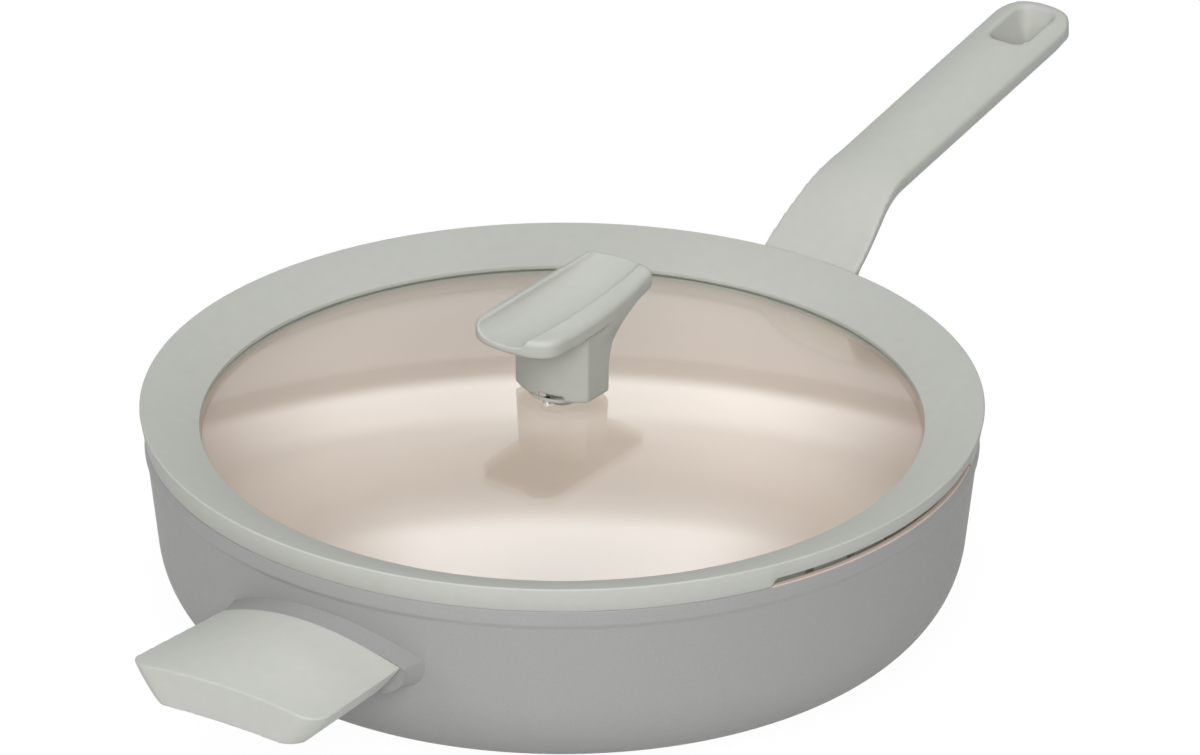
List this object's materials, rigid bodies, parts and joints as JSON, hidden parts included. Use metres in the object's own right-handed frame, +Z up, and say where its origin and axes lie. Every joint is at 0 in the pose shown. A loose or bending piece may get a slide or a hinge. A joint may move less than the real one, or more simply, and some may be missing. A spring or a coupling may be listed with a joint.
{
  "type": "covered saute pan",
  "caption": "Deep round pan with a long stick handle and a short helper handle, covered by a domed glass lid set in a silicone rim with strainer notches and a saddle-shaped knob.",
  "frame": {"origin": "centre of the underside of the induction plate, on the pan's axis", "axes": "+Z up out of the pan, +X along the stick handle, -X along the helper handle, -Y towards the strainer notch seen in the picture"},
  "size_m": [0.4838, 0.29, 0.1213],
  "materials": {
    "coated_aluminium": "matt grey coat outside, cream ceramic coat inside",
    "induction_steel": "brushed",
    "handle_phenolic": "soft matt, warm light grey",
    "rim_silicone": "matt, warm light grey",
    "lid_glass": "clear tempered glass",
    "fastener_steel": "bright",
    "insert_brass": "turned"
  },
  "bodies": {
    "pan": {"pan_body": "coated_aluminium", "base_plate": "induction_steel", "long_handle": "handle_phenolic", "helper_handle": "handle_phenolic", "long_handle_washer_lower": "fastener_steel", "long_handle_screw_lower": "fastener_steel", "long_handle_washer_upper": "fastener_steel", "long_handle_screw_upper": "fastener_steel", "helper_handle_washer_left": "fastener_steel", "helper_handle_screw_left": "fastener_steel", "helper_handle_washer_right": "fastener_steel", "helper_handle_screw_right": "fastener_steel"},
    "lid": {"lid_glass": "lid_glass", "lid_rim": "rim_silicone", "lid_knob": "handle_phenolic", "knob_seat": "rim_silicone", "knob_insert": "insert_brass", "knob_bush": "rim_silicone", "knob_washer": "fastener_steel", "knob_screw": "fastener_steel"}
  },
  "joints": [
    {"name": "lid_lift", "type": "slide", "parent": "pan", "child": "lid", "axis": [0, 0, 1], "range_m": [0, 0.12]}
  ]
}
